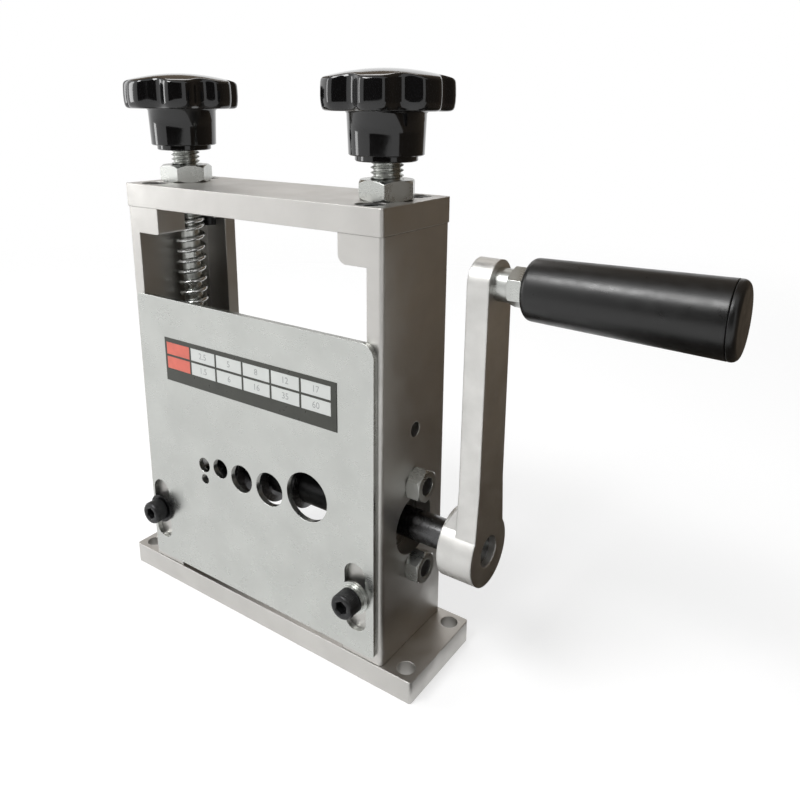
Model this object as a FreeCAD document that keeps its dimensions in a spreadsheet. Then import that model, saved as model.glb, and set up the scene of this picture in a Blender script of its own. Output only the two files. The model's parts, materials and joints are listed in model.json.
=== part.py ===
import FreeCAD, Part
import math
import os
import re

import Sketcher
from FreeCAD import Placement, Rotation, Vector

# Hand crank wire stripper, millimetres, +Z up.
# X runs along the front, Y to the back. The origin is the centre of the base plate's underside.
# A crank shaft carries five ground discs. A spring-loaded roller above them presses the wire down.

# Driving sizes, each written once
SIZES = {
    # columns, base and top
    "body_width": 112.0,
    "body_depth": 36.0,
    "base_thickness": 8.0,
    "base_ledge": 11.6,
    "base_lip": 0.5,
    "base_round": 1.0,
    "column_height": 140.5,
    "top_thickness": 8.0,
    "top_lip_side": 0.1,
    "top_lip_front": 0.3,
    "wall": 5.6,
    "flange_reach": 16.0,
    "flange_thickness": 5.0,
    "window_height": 29.3,
    "foot_height": 14.0,
    "column_round": 1.4,
    "lug_height": 9.2,
    "lug_depth": 11.8,
    "right_lug_round": 3.0,
    "left_lug_round": 0.8,
    "rear_lug_height": 6.0,
    "rear_lug_depth": 10.5,
    "base_hole_diameter": 6.0,
    "base_hole_inset": 4.9,
    "side_tap_diameter": 5.0,
    # clearances
    "fit_gap": 0.05,
    "running_gap": 0.1,
    "slide_gap": 0.3,
    # small screws of the top, base and guide plate
    "screw_diameter": 5.0,
    "screw_head_diameter": 8.5,
    "screw_head_height": 5.0,
    "screw_socket_across": 4.0,
    "screw_socket_depth": 2.6,
    "screw_edge": 0.4,
    "counterbore_play": 0.4,
    "counterbore_depth": 5.4,
    "top_screw_length": 10.0,
    "top_screw_inset": 8.5,
    "top_screw_setback": 6.0,
    "base_screw_length": 12.0,
    "base_screw_inset": 9.5,
    "base_screw_setback": 9.0,
    # bearing housings and their bolts
    "crank_axis_rise": 43.5,
    "shaft_diameter": 10.0,
    "shaft_window_play": 1.6,
    "housing_thickness": 7.0,
    "housing_side_gap": 1.0,
    "housing_half_height": 19.8,
    "bearing_ring": 4.5,
    "bearing_width": 5.0,
    "bolt_diameter": 6.0,
    "bolt_spread": 29.6,
    "bolt_head_height": 4.0,
    "bolt_tail": 4.4,
    "nut_across": 10.0,
    "nut_thickness": 5.0,
    "nut_chamfer_share": 0.06,
    # guide plate and its screws
    "guide_thickness": 1.9,
    "guide_gap": 3.5,
    "guide_height": 106.0,
    "guide_left_inset": 4.1,
    "guide_right_inset": 1.7,
    "guide_big_round": 4.5,
    "guide_small_round": 1.2,
    "slot_width": 8.4,
    "slot_rise": 7.8,
    "slot_length": 24.5,
    "guide_screw_inset": 9.0,
    "guide_screw_rise": 24.0,
    "washer_diameter": 11.0,
    "washer_thickness": 1.0,
    "spring_washer_diameter": 9.2,
    "spring_washer_thickness": 1.3,
    "label_length": 79.0,
    "label_height": 16.2,
    "label_thickness": 0.2,
    "label_drop": 22.4,
    # ground discs and spacer sleeves on the crank shaft
    "disc_thickness": 2.0,
    "disc_bevel": 2.6,
    "disc_land": 0.2,
    "stack_sleeve_wall": 1.5,
    "first_sleeve_length": 6.7,
    "stack_gap": 0.4,
    "collar_step": 1.5,
    "collar_width": 4.0,
    "stack_nut_thickness": 4.0,
    "shaft_tail": 4.0,
    # pressure roller and slide blocks
    "axis_distance": 33.3,
    "roller_diameter": 29.0,
    "roller_tooth_depth": 0.7,
    "roller_tooth_gap": 1.1,
    "roller_end_gap": 0.5,
    "journal_diameter": 9.0,
    "journal_length": 11.0,
    "block_width": 16.1,
    "block_drop": 9.0,
    "block_rise": 15.2,
    "bush_wall": 1.8,
    "clip_slot_height": 3.0,
    "clip_roof": 3.4,
    "clip_step": 1.7,
    "clip_thickness": 1.0,
    # adjusting rods, springs, lock nuts and star knobs
    "rod_inset": 11.3,
    "rod_diameter": 10.0,
    "rod_pin_diameter": 7.0,
    "rod_shoulder_drop": 4.8,
    "rod_grip": 12.0,
    "clip_neck_depth": 0.8,
    "spring_wire": 1.6,
    "spring_play": 0.3,
    "spring_pitch": 4.0,
    "spring_bend": 1.9,
    "lock_nut_across": 16.0,
    "lock_nut_thickness": 6.0,
    "knob_clearance": 5.3,
    "knob_foot_diameter": 18.8,
    "knob_foot_step": 1.7,
    "knob_neck_diameter": 22.6,
    "knob_shoulder_diameter": 23.6,
    "knob_neck_height": 12.5,
    "knob_diameter": 40.0,
    "knob_rim_height": 9.0,
    "knob_dome_height": 3.0,
    "dome_edge_share": 0.82,
    "dome_edge_lift": 0.55,
    "dome_crown_share": 0.45,
    "dome_crown_lift": 0.9,
    "knob_scallop_radius": 5.2,
    "knob_scallop_reach": 22.0,
    # crank arm, spindle and grip
    "boss_diameter": 22.5,
    "boss_length": 11.9,
    "arm_standoff": 15.5,
    "arm_thickness": 6.8,
    "arm_top_width": 14.0,
    "arm_low_width": 15.2,
    "arm_foot_width": 18.0,
    "arm_foot_height": 6.0,
    "gusset_length": 4.9,
    "gusset_height": 8.2,
    "gusset_sink": 2.8,
    "crank_radius": 84.3,
    "shaft_recess": 2.4,
    "set_screw_diameter": 4.0,
    "set_screw_recess": 0.7,
    "spindle_diameter": 6.0,
    "spindle_sleeve_wall": 1.8,
    "spindle_sleeve_length": 4.0,
    "spindle_nut_length": 4.8,
    "spindle_head_diameter": 10.0,
    "spindle_head_height": 4.0,
    "grip_end_gap": 0.3,
    "grip_length": 53.7,
    "grip_small_diameter": 17.4,
    "grip_large_diameter": 19.8,
    "grip_round": 1.6,
    "grip_round_step": 0.5,
    "grip_cap_length": 2.2,
    "grip_head_play": 0.7,
    "grip_socket_depth": 8.0,
}

# Wire holes from the widest to the narrowest: distance along X, rise above the crank axis, diameter
WIRE_HOLES = {
    "one": (27.4, 9.2, 17.2),
    "two": (10.7, 6.6, 12.2),
    "three": (-2.5, 6.4, 10.2),
    "four": (-13.0, 7.1, 7.2),
    "five": (-21.3, 6.2, 5.6),
    "six": (-21.3, 0.6, 3.7),
}

# Radius of the ground disc behind each of the first five holes
DISC_RADII = {"one": 8.4, "two": 8.9, "three": 10.5, "four": 12.4, "five": 13.1}

KNOB_LOBES = 7
ROLLER_TEETH = 36

for hole, (across, rise, diameter) in WIRE_HOLES.items():
    SIZES["hole_%s_across" % hole] = across
    SIZES["hole_%s_rise" % hole] = rise
    SIZES["hole_%s_diameter" % hole] = diameter
for hole, radius in DISC_RADII.items():
    SIZES["disc_%s_radius" % hole] = radius

# Places that follow from the sizes
PLACES = {
    "side_face": "body_width / 2",
    "wall_face": "side_face - wall",
    "flange_edge": "side_face - flange_reach",
    "front_face": "-body_depth / 2",
    "back_face": "body_depth / 2",
    "flange_face": "body_depth / 2 - flange_thickness",
    "column_top": "base_thickness + column_height",
    "top_face": "column_top + top_thickness",
    "front_flange_height": "column_height - lug_height - window_height",
    "crank_axis_height": "base_thickness + crank_axis_rise",
    "roller_axis_height": "crank_axis_height + axis_distance",
    "bearing_outer_diameter": "shaft_diameter + 2 * bearing_ring",
    "shaft_window_diameter": "bearing_outer_diameter + shaft_window_play",
    "top_screw_across": "side_face - top_screw_inset",
    "top_screw_out": "body_depth / 2 - top_screw_setback",
    "base_screw_across": "side_face - base_screw_inset",
    "base_screw_out": "body_depth / 2 - base_screw_setback",
    "base_hole_across": "side_face + base_ledge - base_hole_inset",
    "base_hole_out": "body_depth / 2 + base_lip - base_hole_inset",
    "housing_face": "wall_face - housing_thickness",
    "housing_width": "2 * (flange_face - housing_side_gap)",
    "guide_back": "front_face - running_gap",
    "guide_front": "guide_back - guide_thickness",
    "guide_left": "guide_left_inset - side_face",
    "guide_right": "side_face - guide_right_inset",
    "guide_bottom": "base_thickness + guide_gap",
    "guide_top": "guide_bottom + guide_height",
    "slot_bottom": "guide_bottom + slot_rise",
    "slot_top": "slot_bottom + slot_length",
    "guide_screw_offset": "side_face - guide_screw_inset",
    "guide_screw_height": "base_thickness + guide_screw_rise",
    "washer_face": "guide_front - running_gap",
    "label_centre": "(guide_left + guide_right) / 2",
    "label_middle": "guide_top - label_drop",
    "sleeve_diameter": "shaft_diameter + 2 * stack_sleeve_wall",
    "collar_diameter": "sleeve_diameter + 2 * collar_step",
    "stack_left": "hole_five_across - disc_thickness / 2 - first_sleeve_length",
    "stack_right": "housing_face - bolt_head_height - stack_gap - stack_nut_thickness",
    "block_outer_face": "wall_face - slide_gap",
    "block_inner_face": "block_outer_face - block_width",
    "block_half_depth": "flange_face - slide_gap",
    "block_bottom": "roller_axis_height - block_drop",
    "block_top": "roller_axis_height + block_rise",
    "roller_half_length": "block_inner_face - roller_end_gap",
    "clip_slot_top": "block_top - clip_roof",
    "clip_slot_bottom": "clip_slot_top - clip_slot_height",
    "clip_diameter": "rod_pin_diameter + 2 * clip_step",
    "clip_neck_diameter": "rod_pin_diameter - 2 * clip_neck_depth",
    "spring_mean_diameter": "rod_pin_diameter + 2 * spring_play + spring_wire",
    "rod_offset": "side_face - rod_inset",
    "rod_shoulder_height": "column_top - rod_shoulder_drop",
    "knob_foot_height": "top_face + lock_nut_thickness + knob_clearance",
    "rod_top": "knob_foot_height + rod_grip",
    "rod_foot": "clip_slot_bottom + running_gap",
    "boss_inner_face": "side_face + arm_standoff",
    "arm_outer_face": "boss_inner_face + boss_length",
    "arm_inner_face": "arm_outer_face - arm_thickness",
    "grip_axis_height": "crank_axis_height + crank_radius",
    "gusset_root": "boss_diameter / 2 - gusset_sink",
    "shaft_end": "arm_outer_face - shaft_recess",
    "set_screw_length": "(boss_diameter - shaft_diameter) / 2 - fit_gap - set_screw_recess",
    "spindle_sleeve_diameter": "spindle_diameter + 2 * spindle_sleeve_wall",
    "spindle_nut_face": "arm_outer_face + spindle_sleeve_length",
    "grip_start": "spindle_nut_face + spindle_nut_length + grip_end_gap",
    "grip_end": "grip_start + grip_length",
    "grip_socket_face": "grip_end - grip_cap_length - grip_socket_depth",
    "grip_socket_diameter": "spindle_head_diameter + 2 * grip_head_play",
}

WORD = re.compile(r"[a-z][a-z0-9_]*")
DOWN = Rotation(Vector(0, 1, 0), 90)
UP = Rotation(Vector(0, 1, 0), -90)
TO_BACK = Rotation(Vector(0, 0, 1), 90)
TO_FRONT = Rotation(Vector(0, 0, 1), -90)
TO_LEFT = Rotation(Vector(0, 0, 1), 180)
CYLINDER_ALONG_X = Rotation(Vector(0, 1, 0), 90)
CYLINDER_ALONG_Y = Rotation(Vector(1, 0, 0), -90)
SIDES = (("left", -1), ("right", 1))

doc = FreeCAD.newDocument("wire_stripper")
nodes = {}


def bound(text, own_sheet=None):
    """Write a formula with each alias in its sheet's name, save in the sheet itself."""

    def full_name(match):
        word = match.group(0)
        if word in SIZES:
            return "sizes." + word
        if word in PLACES and own_sheet != "places":
            return "places." + word
        return word

    return WORD.sub(full_name, text)


def fill_sheet(name, cells):
    """Make a spreadsheet with one alias per row."""
    sheet = doc.addObject("Spreadsheet::Sheet", name)
    for row, (alias, content) in enumerate(cells.items(), start=1):
        sheet.set("A%d" % row, alias.replace("_", " "))
        sheet.set("B%d" % row, content)
        sheet.setAlias("B%d" % row, alias)
    doc.recompute()
    return sheet


sizes = fill_sheet("sizes", {alias: str(number) for alias, number in SIZES.items()})
places = fill_sheet("places", {alias: "=" + bound(text, "places") for alias, text in PLACES.items()})


def num(alias):
    """The present value of a size or a place."""
    return float(getattr(sizes if alias in SIZES else places, alias))


def signed(side, text):
    """A distance to the right, or the same distance to the left."""
    return text if side > 0 else "-(%s)" % text


def bind(item, **formulas):
    """Tie properties to formulas of the sheets."""
    for name, text in formulas.items():
        item.setExpression(name, bound(text))


def place(item, x="0", y="0", z="0", turn=None):
    """Turn an object and tie its position to the sheets."""
    if turn is not None:
        item.Placement = Placement(Vector(0, 0, 0), turn)
    for axis, text in (("x", x), ("y", y), ("z", z)):
        if text != "0":
            item.setExpression("Placement.Base." + axis, bound(text))
    return item


def draw_polygon(sketch, points):
    """Draw a closed polygon whose corners are tied to the sheets."""
    count = len(points)
    angles = [2 * math.pi * i / count for i in range(count)]
    corners = [Vector(math.cos(angle), math.sin(angle), 0) for angle in angles]
    for i in range(count):
        sketch.addGeometry(Part.LineSegment(corners[i], corners[(i + 1) % count]), False)
    for i in range(count):
        sketch.addConstraint(Sketcher.Constraint("Coincident", i, 2, (i + 1) % count, 1))
    for i, corner in enumerate(points):
        for kind, text in zip(("DistanceX", "DistanceY"), corner):
            index = sketch.addConstraint(Sketcher.Constraint(kind, -1, 1, i, 1, 1.0))
            sketch.setExpression("Constraints[%d]" % index, bound(text))


def turned(name, points, **position):
    """A solid of revolution about its own X axis; points are (distance along it, radius)."""
    profile = doc.addObject("Sketcher::SketchObject", name + "_profile")
    draw_polygon(profile, points)
    solid = doc.addObject("Part::Revolution", name)
    solid.Source = profile
    solid.Axis = Vector(1, 0, 0)
    solid.Angle = 360
    solid.Solid = True
    return place(solid, **position)


def hexagon(name, across, length, x="0"):
    """A hexagonal bar along X."""
    bar = doc.addObject("Part::Prism", name)
    bar.Polygon = 6
    bind(bar, Circumradius="(%s) / sqrt(3)" % across, Height=length)
    return place(bar, x=x, turn=CYLINDER_ALONG_X)


def common(name, first, second, **position):
    both = doc.addObject("Part::Common", name)
    both.Base = first
    both.Tool = second
    return place(both, **position)


def cut(name, base, tool, **position):
    rest = doc.addObject("Part::Cut", name)
    rest.Base = base
    rest.Tool = tool
    return place(rest, **position)


def group(name, pieces):
    """Equal pieces that share one node as separate solids."""
    node = doc.addObject("Part::Compound", name)
    node.Links = pieces
    nodes[name] = node


def hex_nut(name, across, thickness, bore, **position):
    """A nut along X with both faces chamfered at the corners."""
    corner = "(%s) / sqrt(3)" % across
    slope = "(%s) * nut_chamfer_share" % across
    envelope = [
        ("0", bore),
        ("0", "(%s) / 2" % across),
        (slope, corner),
        ("%s - %s" % (thickness, slope), corner),
        (thickness, "(%s) / 2" % across),
        (thickness, bore),
    ]
    ring = turned(name + "_ring", envelope)
    return common(name, hexagon(name + "_bar", across, thickness), ring, **position)


def cap_screw(name, length, **position):
    """A socket head cap screw along X, with the underside of its head at zero."""
    head = "screw_head_diameter / 2"
    shank = "screw_diameter / 2"
    outline = [
        ("-screw_head_height", "0"),
        ("-screw_head_height", head + " - screw_edge"),
        ("screw_edge - screw_head_height", head),
        ("0", head),
        ("0", shank),
        (length, shank),
        (length, "0"),
    ]
    solid = turned(name + "_solid", outline)
    socket = hexagon(name + "_socket", "screw_socket_across", "screw_socket_depth", x="-screw_head_height")
    return cut(name, solid, socket, **position)


def start_body(label, **position):
    body = doc.addObject("PartDesign::Body", label)
    nodes[label] = body
    return place(body, **position)


def body_sketch(body, name, role, points):
    """A polygon on one of the body's own origin planes."""
    sketch = body.newObject("Sketcher::SketchObject", name)
    plane = next(item for item in body.Origin.OriginFeatures if item.Role == role)
    sketch.AttachmentSupport = [(plane, "")]
    sketch.MapMode = "FlatFace"
    draw_polygon(sketch, points)
    return sketch


def pad(body, name, role, points, length):
    feature = body.newObject("PartDesign::Pad", name)
    feature.Profile = body_sketch(body, name + "_outline", role, points)
    bind(feature, Length=length)
    return feature


def block_feature(body, kind, name, low, high):
    """Add or take away a box between two corners."""
    feature = body.newObject("PartDesign::%sBox" % kind, name)
    bind(
        feature,
        Length="(%s) - (%s)" % (high[0], low[0]),
        Width="(%s) - (%s)" % (high[1], low[1]),
        Height="(%s) - (%s)" % (high[2], low[2]),
    )
    return place(feature, x=low[0], y=low[1], z=low[2])


def round_feature(body, kind, name, radius, length, x="0", y="0", z="0", turn=None):
    """Add or take away a cylinder that starts at a point."""
    feature = body.newObject("PartDesign::%sCylinder" % kind, name)
    bind(feature, Radius=radius, Height=length)
    return place(feature, x=x, y=y, z=z, turn=turn)


def matching_edges(shape, direction, centre_test):
    """Names of the straight edges along a direction whose middle passes a test."""
    found = []
    for index, edge in enumerate(shape.Edges, start=1):
        if edge.Curve.TypeId != "Part::GeomLine":
            continue
        along = edge.Curve.Direction
        middle = edge.CenterOfMass
        if abs(abs(along.dot(direction)) - 1) < 1e-6 and centre_test(middle):
            found.append("Edge%d" % index)
    return found


def round_edges(body, name, base, edges, radius):
    feature = body.newObject("PartDesign::Fillet", name)
    feature.Base = (base, edges)
    bind(feature, Radius=radius)
    return feature


def near(first, second):
    return abs(first - second) < 1e-4


def base_plate():
    half_length = "side_face + base_ledge"
    half_depth = "body_depth / 2 + base_lip"
    body = start_body("base_plate")
    outline = [
        ("-(%s)" % half_length, "-(%s)" % half_depth),
        (half_length, "-(%s)" % half_depth),
        (half_length, half_depth),
        ("-(%s)" % half_length, half_depth),
    ]
    slab = pad(body, "base_slab", "XY_Plane", outline, "base_thickness")
    doc.recompute()
    corners = matching_edges(slab.Shape, Vector(0, 0, 1), lambda middle: True)
    round_edges(body, "base_corners", slab, corners, "base_round")
    for x_side in (-1, 1):
        for y_side in (-1, 1):
            tag = "_%d%d" % (x_side + 1, y_side + 1)
            round_feature(
                body, "Subtractive", "base_hole" + tag, "base_hole_diameter / 2", "base_thickness",
                x=signed(x_side, "base_hole_across"), y=signed(y_side, "base_hole_out"),
            )
            round_feature(
                body, "Subtractive", "base_screw_hole" + tag,
                "screw_diameter / 2 + fit_gap", "base_thickness",
                x=signed(x_side, "base_screw_across"), y=signed(y_side, "base_screw_out"),
            )
            round_feature(
                body, "Subtractive", "base_screw_seat" + tag,
                "screw_head_diameter / 2 + counterbore_play", "counterbore_depth",
                x=signed(x_side, "base_screw_across"), y=signed(y_side, "base_screw_out"),
            )


def column(side_name, side):
    """A channel section that opens inwards, with a cut-away front flange and a lug on top."""
    label = side_name + "_column"
    lug_round = side_name + "_lug_round"
    body = start_body(label, z="base_thickness")
    section = [
        ("side_face", "front_face"),
        ("side_face", "back_face"),
        ("flange_edge", "back_face"),
        ("flange_edge", "flange_face"),
        ("wall_face", "flange_face"),
        ("wall_face", "-flange_face"),
        ("flange_edge", "-flange_face"),
        ("flange_edge", "front_face"),
    ]
    section = [(signed(side, x), y) for x, y in section]
    channel = pad(body, label + "_channel", "XY_Plane", section, "column_height")
    doc.recompute()
    outer = num("side_face")
    corners = matching_edges(channel.Shape, Vector(0, 0, 1), lambda middle: near(abs(middle.x), outer))
    round_edges(body, label + "_corners", channel, corners, "column_round")

    def inner_box(kind, name, depth_low, depth_high, low, high, inner="flange_edge"):
        near_x, far_x = (inner, "wall_face") if side > 0 else ("-wall_face", "-(%s)" % inner)
        block_feature(body, kind, label + name, (near_x, depth_low, low), (far_x, depth_high, high))

    inner_box("Subtractive", "_window", "front_face", "-flange_face", "front_flange_height", "column_height")
    inner_box("Additive", "_foot", "-flange_face", "flange_face", "0", "foot_height")
    lug_foot = "column_height - lug_height"
    inner_box("Additive", "_lug", "front_face", "front_face + lug_depth", lug_foot, "column_height")
    inner_box(
        "Additive", "_rear_lug", "back_face - rear_lug_depth", "flange_face",
        "column_height - rear_lug_height", "column_height",
    )
    doc.recompute()
    edge_x = num("flange_edge")
    foot_z = num("column_height") - num("lug_height")

    def lug_corner(middle):
        return near(abs(middle.x), edge_x) and near(middle.z, foot_z)

    lug = body.Tip
    corners = matching_edges(lug.Shape, Vector(0, 1, 0), lug_corner)
    round_edges(body, label + "_lug_corner", lug, corners, lug_round)

    wall_start = "wall_face" if side > 0 else "-side_face"
    for name, radius, height in (
        ("_shaft_window", "shaft_window_diameter / 2", "crank_axis_rise"),
        ("_side_tap", "side_tap_diameter / 2", "crank_axis_rise + axis_distance"),
        ("_upper_bolt", "bolt_diameter / 2 + fit_gap", "crank_axis_rise + bolt_spread / 2"),
        ("_lower_bolt", "bolt_diameter / 2 + fit_gap", "crank_axis_rise - bolt_spread / 2"),
    ):
        round_feature(
            body, "Subtractive", label + name, radius, "wall", x=wall_start, z=height,
            turn=CYLINDER_ALONG_X,
        )
    round_feature(
        body, "Subtractive", label + "_guide_tap", "screw_diameter / 2 + fit_gap", "flange_thickness",
        x=signed(side, "guide_screw_offset"), y="front_face", z="guide_screw_rise", turn=CYLINDER_ALONG_Y,
    )
    for end in (-1, 1):
        round_feature(
            body, "Subtractive", label + "_top_tap%d" % (end + 1), "screw_diameter / 2 + fit_gap",
            "top_screw_length", x=signed(side, "top_screw_across"), y=signed(end, "top_screw_out"),
            z="column_height - top_screw_length",
        )
        round_feature(
            body, "Subtractive", label + "_base_tap%d" % (end + 1), "screw_diameter / 2 + fit_gap",
            "base_screw_length", x=signed(side, "base_screw_across"), y=signed(end, "base_screw_out"),
        )


def top_plate():
    half_length = "side_face + top_lip_side"
    half_depth = "body_depth / 2 + top_lip_front"
    body = start_body("top_plate", z="column_top")
    outline = [
        ("-(%s)" % half_length, "-(%s)" % half_depth),
        (half_length, "-(%s)" % half_depth),
        (half_length, half_depth),
        ("-(%s)" % half_length, half_depth),
    ]
    slab = pad(body, "top_slab", "XY_Plane", outline, "top_thickness")
    doc.recompute()
    corners = matching_edges(slab.Shape, Vector(0, 0, 1), lambda middle: True)
    round_edges(body, "top_corners", slab, corners, "base_round")
    for x_side in (-1, 1):
        round_feature(
            body, "Subtractive", "rod_thread%d" % (x_side + 1),
            "rod_diameter / 2 + running_gap", "top_thickness", x=signed(x_side, "rod_offset"),
        )
        for y_side in (-1, 1):
            tag = "_%d%d" % (x_side + 1, y_side + 1)
            round_feature(
                body, "Subtractive", "top_screw_hole" + tag, "screw_diameter / 2 + fit_gap", "top_thickness",
                x=signed(x_side, "top_screw_across"), y=signed(y_side, "top_screw_out"),
            )
            round_feature(
                body, "Subtractive", "top_screw_seat" + tag,
                "screw_head_diameter / 2 + counterbore_play", "counterbore_depth",
                x=signed(x_side, "top_screw_across"), y=signed(y_side, "top_screw_out"),
                z="top_thickness - counterbore_depth",
            )


def frame_screws():
    """The screws that hold the top plate and the base plate to the columns."""
    top_screws = []
    base_screws = []
    for x_side in (-1, 1):
        for y_side in (-1, 1):
            tag = "_%d%d" % (x_side + 1, y_side + 1)
            top_screws.append(cap_screw(
                "top_screw" + tag, "top_thickness - counterbore_depth + top_screw_length - slide_gap",
                x=signed(x_side, "top_screw_across"), y=signed(y_side, "top_screw_out"),
                z="top_face - counterbore_depth", turn=DOWN,
            ))
            base_screws.append(cap_screw(
                "base_screw" + tag, "base_thickness - counterbore_depth + base_screw_length - slide_gap",
                x=signed(x_side, "base_screw_across"), y=signed(y_side, "base_screw_out"),
                z="counterbore_depth", turn=UP,
            ))
    group("top_plate_screws", top_screws)
    group("base_screws", base_screws)


def bearing_housing(side_name, side):
    label = side_name + "_bearing_housing"
    body = start_body(label, z="crank_axis_height")
    low_x, high_x = ("housing_face", "wall_face") if side > 0 else ("-wall_face", "-housing_face")
    block_feature(
        body, "Additive", label + "_plate",
        (low_x, "-housing_width / 2", "-housing_half_height"),
        (high_x, "housing_width / 2", "housing_half_height"),
    )
    for name, radius, height in (
        ("_seat", "bearing_outer_diameter / 2 + fit_gap", "0"),
        ("_upper_hole", "bolt_diameter / 2 + fit_gap", "bolt_spread / 2"),
        ("_lower_hole", "bolt_diameter / 2 + fit_gap", "-bolt_spread / 2"),
    ):
        round_feature(
            body, "Subtractive", label + name, radius, "housing_thickness", x=low_x, z=height,
            turn=CYLINDER_ALONG_X,
        )
    ring = [
        ("0", "shaft_diameter / 2 + running_gap"),
        ("0", "bearing_outer_diameter / 2"),
        ("bearing_width", "bearing_outer_diameter / 2"),
        ("bearing_width", "shaft_diameter / 2 + running_gap"),
    ]
    middle = "housing_face + (housing_thickness - bearing_width) / 2"
    label = side_name + "_ball_bearing"
    nodes[label] = turned(
        label, ring, x=signed(side, middle), z="crank_axis_height", turn=TO_LEFT if side < 0 else None
    )


def housing_fasteners():
    """Hex bolts from inside each column, with their nuts on its outer face."""
    bolts = []
    nuts = []
    across = "nut_across"
    for side_name, side in SIDES:
        for end in (-1, 1):
            tag = "%s%d" % (side_name, end + 1)
            height = "crank_axis_height " + ("+" if end > 0 else "-") + " bolt_spread / 2"
            turn = TO_LEFT if side < 0 else Rotation()
            head = hexagon(tag + "_bolt_head", across, "bolt_head_height", x="-bolt_head_height")
            shank = doc.addObject("Part::Cylinder", tag + "_bolt_shank")
            bind(shank, Radius="bolt_diameter / 2", Height="housing_thickness + wall + bolt_tail")
            place(shank, turn=CYLINDER_ALONG_X)
            bolt = doc.addObject("Part::Fuse", tag + "_bolt")
            bolt.Base = head
            bolt.Tool = shank
            bolts.append(place(bolt, x=signed(side, "housing_face"), z=height, turn=turn))
            nuts.append(hex_nut(
                tag + "_bolt_nut", across, "nut_thickness", "bolt_diameter / 2 + fit_gap",
                x=signed(side, "side_face"), z=height, turn=turn,
            ))
    group("housing_bolts", bolts)
    group("housing_nuts", nuts)


def guide_plate():
    """The front plate with six wire holes and two upright slots for its screws."""
    body = start_body("guide_plate", y="guide_back")
    outline = [
        ("guide_left", "guide_bottom"),
        ("guide_right", "guide_bottom"),
        ("guide_right", "guide_top"),
        ("guide_left", "guide_top"),
    ]
    sheet = pad(body, "guide_sheet", "XZ_Plane", outline, "guide_thickness")
    doc.recompute()
    right = num("guide_right")
    top = num("guide_top")

    def is_big(middle):
        return near(middle.x, right) and near(middle.z, top)

    corners = matching_edges(sheet.Shape, Vector(0, 1, 0), lambda middle: not is_big(middle))
    rounded = round_edges(body, "guide_small_corners", sheet, corners, "guide_small_round")
    doc.recompute()
    corners = matching_edges(rounded.Shape, Vector(0, 1, 0), is_big)
    round_edges(body, "guide_big_corner", rounded, corners, "guide_big_round")
    for hole in WIRE_HOLES:
        round_feature(
            body, "Subtractive", "wire_hole_" + hole, "hole_%s_diameter / 2" % hole, "guide_thickness",
            x="hole_%s_across" % hole, y="-guide_thickness", z="crank_axis_height + hole_%s_rise" % hole,
            turn=CYLINDER_ALONG_Y,
        )
    for side_name, side in SIDES:
        centre = signed(side, "guide_screw_offset")
        half = "slot_width / 2"
        block_feature(
            body, "Subtractive", side_name + "_slot_middle",
            ("%s - %s" % (centre, half), "-guide_thickness", "slot_bottom + " + half),
            ("%s + %s" % (centre, half), "0", "slot_top - " + half),
        )
        for end, height in (("low", "slot_bottom + " + half), ("high", "slot_top - " + half)):
            round_feature(
                body, "Subtractive", "%s_slot_%s" % (side_name, end), half, "guide_thickness",
                x=centre, y="-guide_thickness", z=height, turn=CYLINDER_ALONG_Y,
            )


def size_label():
    """The printed table's carrier, a thin sheet on the front of the guide plate."""
    sheet = doc.addObject("Part::Box", "size_label")
    bind(sheet, Length="label_length", Width="label_thickness", Height="label_height")
    place(
        sheet, x="label_centre - label_length / 2", y="guide_front - label_thickness",
        z="label_middle - label_height / 2",
    )
    nodes["size_label"] = sheet


def guide_plate_fasteners():
    """Cap screws through the slots: the right one sits on a flat and a split washer."""
    bore = "screw_diameter / 2 + fit_gap"
    washers = []

    def washer(name, side, diameter, thickness, start):
        ring = [
            ("0", bore),
            ("0", diameter + " / 2"),
            (thickness, diameter + " / 2"),
            (thickness, bore),
        ]
        washers.append(turned(
            name, ring, x=signed(side, "guide_screw_offset"), y=start, z="guide_screw_height", turn=TO_FRONT
        ))

    washer("left_flat_washer", -1, "washer_diameter", "washer_thickness", "washer_face")
    washer("right_flat_washer", 1, "washer_diameter", "washer_thickness", "washer_face")
    washer(
        "right_split_washer", 1, "spring_washer_diameter", "spring_washer_thickness",
        "washer_face - washer_thickness",
    )
    group("guide_plate_washers", washers)
    screws = []
    for side_name, side, stack in (
        ("left", -1, "washer_thickness"),
        ("right", 1, "washer_thickness + spring_washer_thickness"),
    ):
        head_seat = "washer_face - (%s)" % stack
        screws.append(cap_screw(
            side_name + "_guide_screw", "-flange_face - (%s)" % head_seat,
            x=signed(side, "guide_screw_offset"), y=head_seat, z="guide_screw_height", turn=TO_BACK,
        ))
    group("guide_plate_screws", screws)


def drive_shaft():
    """The crank's shaft, with one fixed collar for the stack of discs and sleeves."""
    radius = "shaft_diameter / 2"
    collar = "collar_diameter / 2"
    left_end = "shaft_tail - side_face"
    outline = [
        (left_end, "0"),
        (left_end, radius),
        ("stack_left - collar_width", radius),
        ("stack_left - collar_width", collar),
        ("stack_left", collar),
        ("stack_left", radius),
        ("shaft_end", radius),
        ("shaft_end", "0"),
    ]
    nodes["drive_shaft"] = turned("drive_shaft", outline, z="crank_axis_height")
    nodes["disc_stack_nut"] = hex_nut(
        "disc_stack_nut", "lock_nut_across", "stack_nut_thickness", "shaft_diameter / 2 + fit_gap",
        x="stack_right", z="crank_axis_height",
    )


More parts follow.
